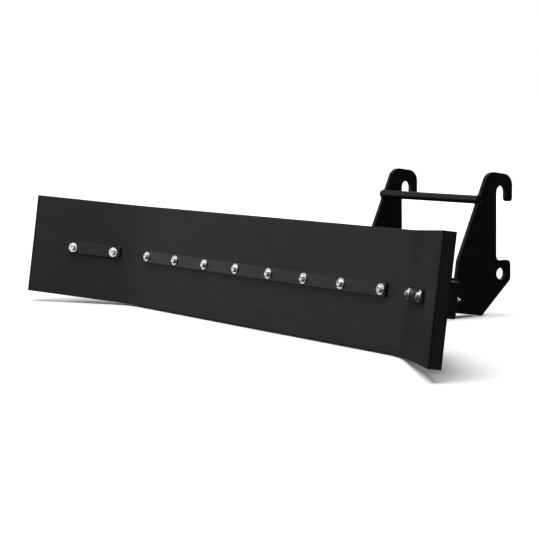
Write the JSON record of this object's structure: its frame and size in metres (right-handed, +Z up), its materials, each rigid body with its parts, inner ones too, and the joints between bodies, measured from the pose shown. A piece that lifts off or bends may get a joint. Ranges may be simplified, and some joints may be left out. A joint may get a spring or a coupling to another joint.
{
  "type": "rubber plow blade",
  "caption": "Thick rubber scraper blade with forward-turned wings, clamped to a box beam on a carrier with hook-and-pin hitch plates.",
  "frame": {"origin": "on the floor, under the middle of the bounding box", "axes": "+X to the right as seen from in front of the blade, +Y back towards the machine, +Z up along the hitch plates' back edges"},
  "size_m": [1.635, 0.7902, 0.3362],
  "materials": {
    "rubber": "satin",
    "black_paint": "satin black powder coat",
    "zinc": "bright zinc plate"
  },
  "bodies": {
    "root": {"rubber_blade": "rubber", "centre_clamp_strip": "black_paint", "left_clamp_strip": "black_paint", "right_clamp_strip": "black_paint", "main_beam": "black_paint", "left_wing_beam": "black_paint", "right_wing_beam": "black_paint", "left_end_cap": "black_paint", "right_end_cap": "black_paint", "left_push_arm": "black_paint", "right_push_arm": "black_paint", "left_hitch_plate": "black_paint", "right_hitch_plate": "black_paint", "cross_bar": "black_paint", "centre_bolts": "zinc", "left_bolts": "zinc", "right_bolts": "zinc", "centre_washers": "zinc", "left_washers": "zinc", "right_washers": "zinc", "centre_nuts": "zinc", "left_nuts": "zinc", "right_nuts": "zinc"}
  },
  "joints": []
}
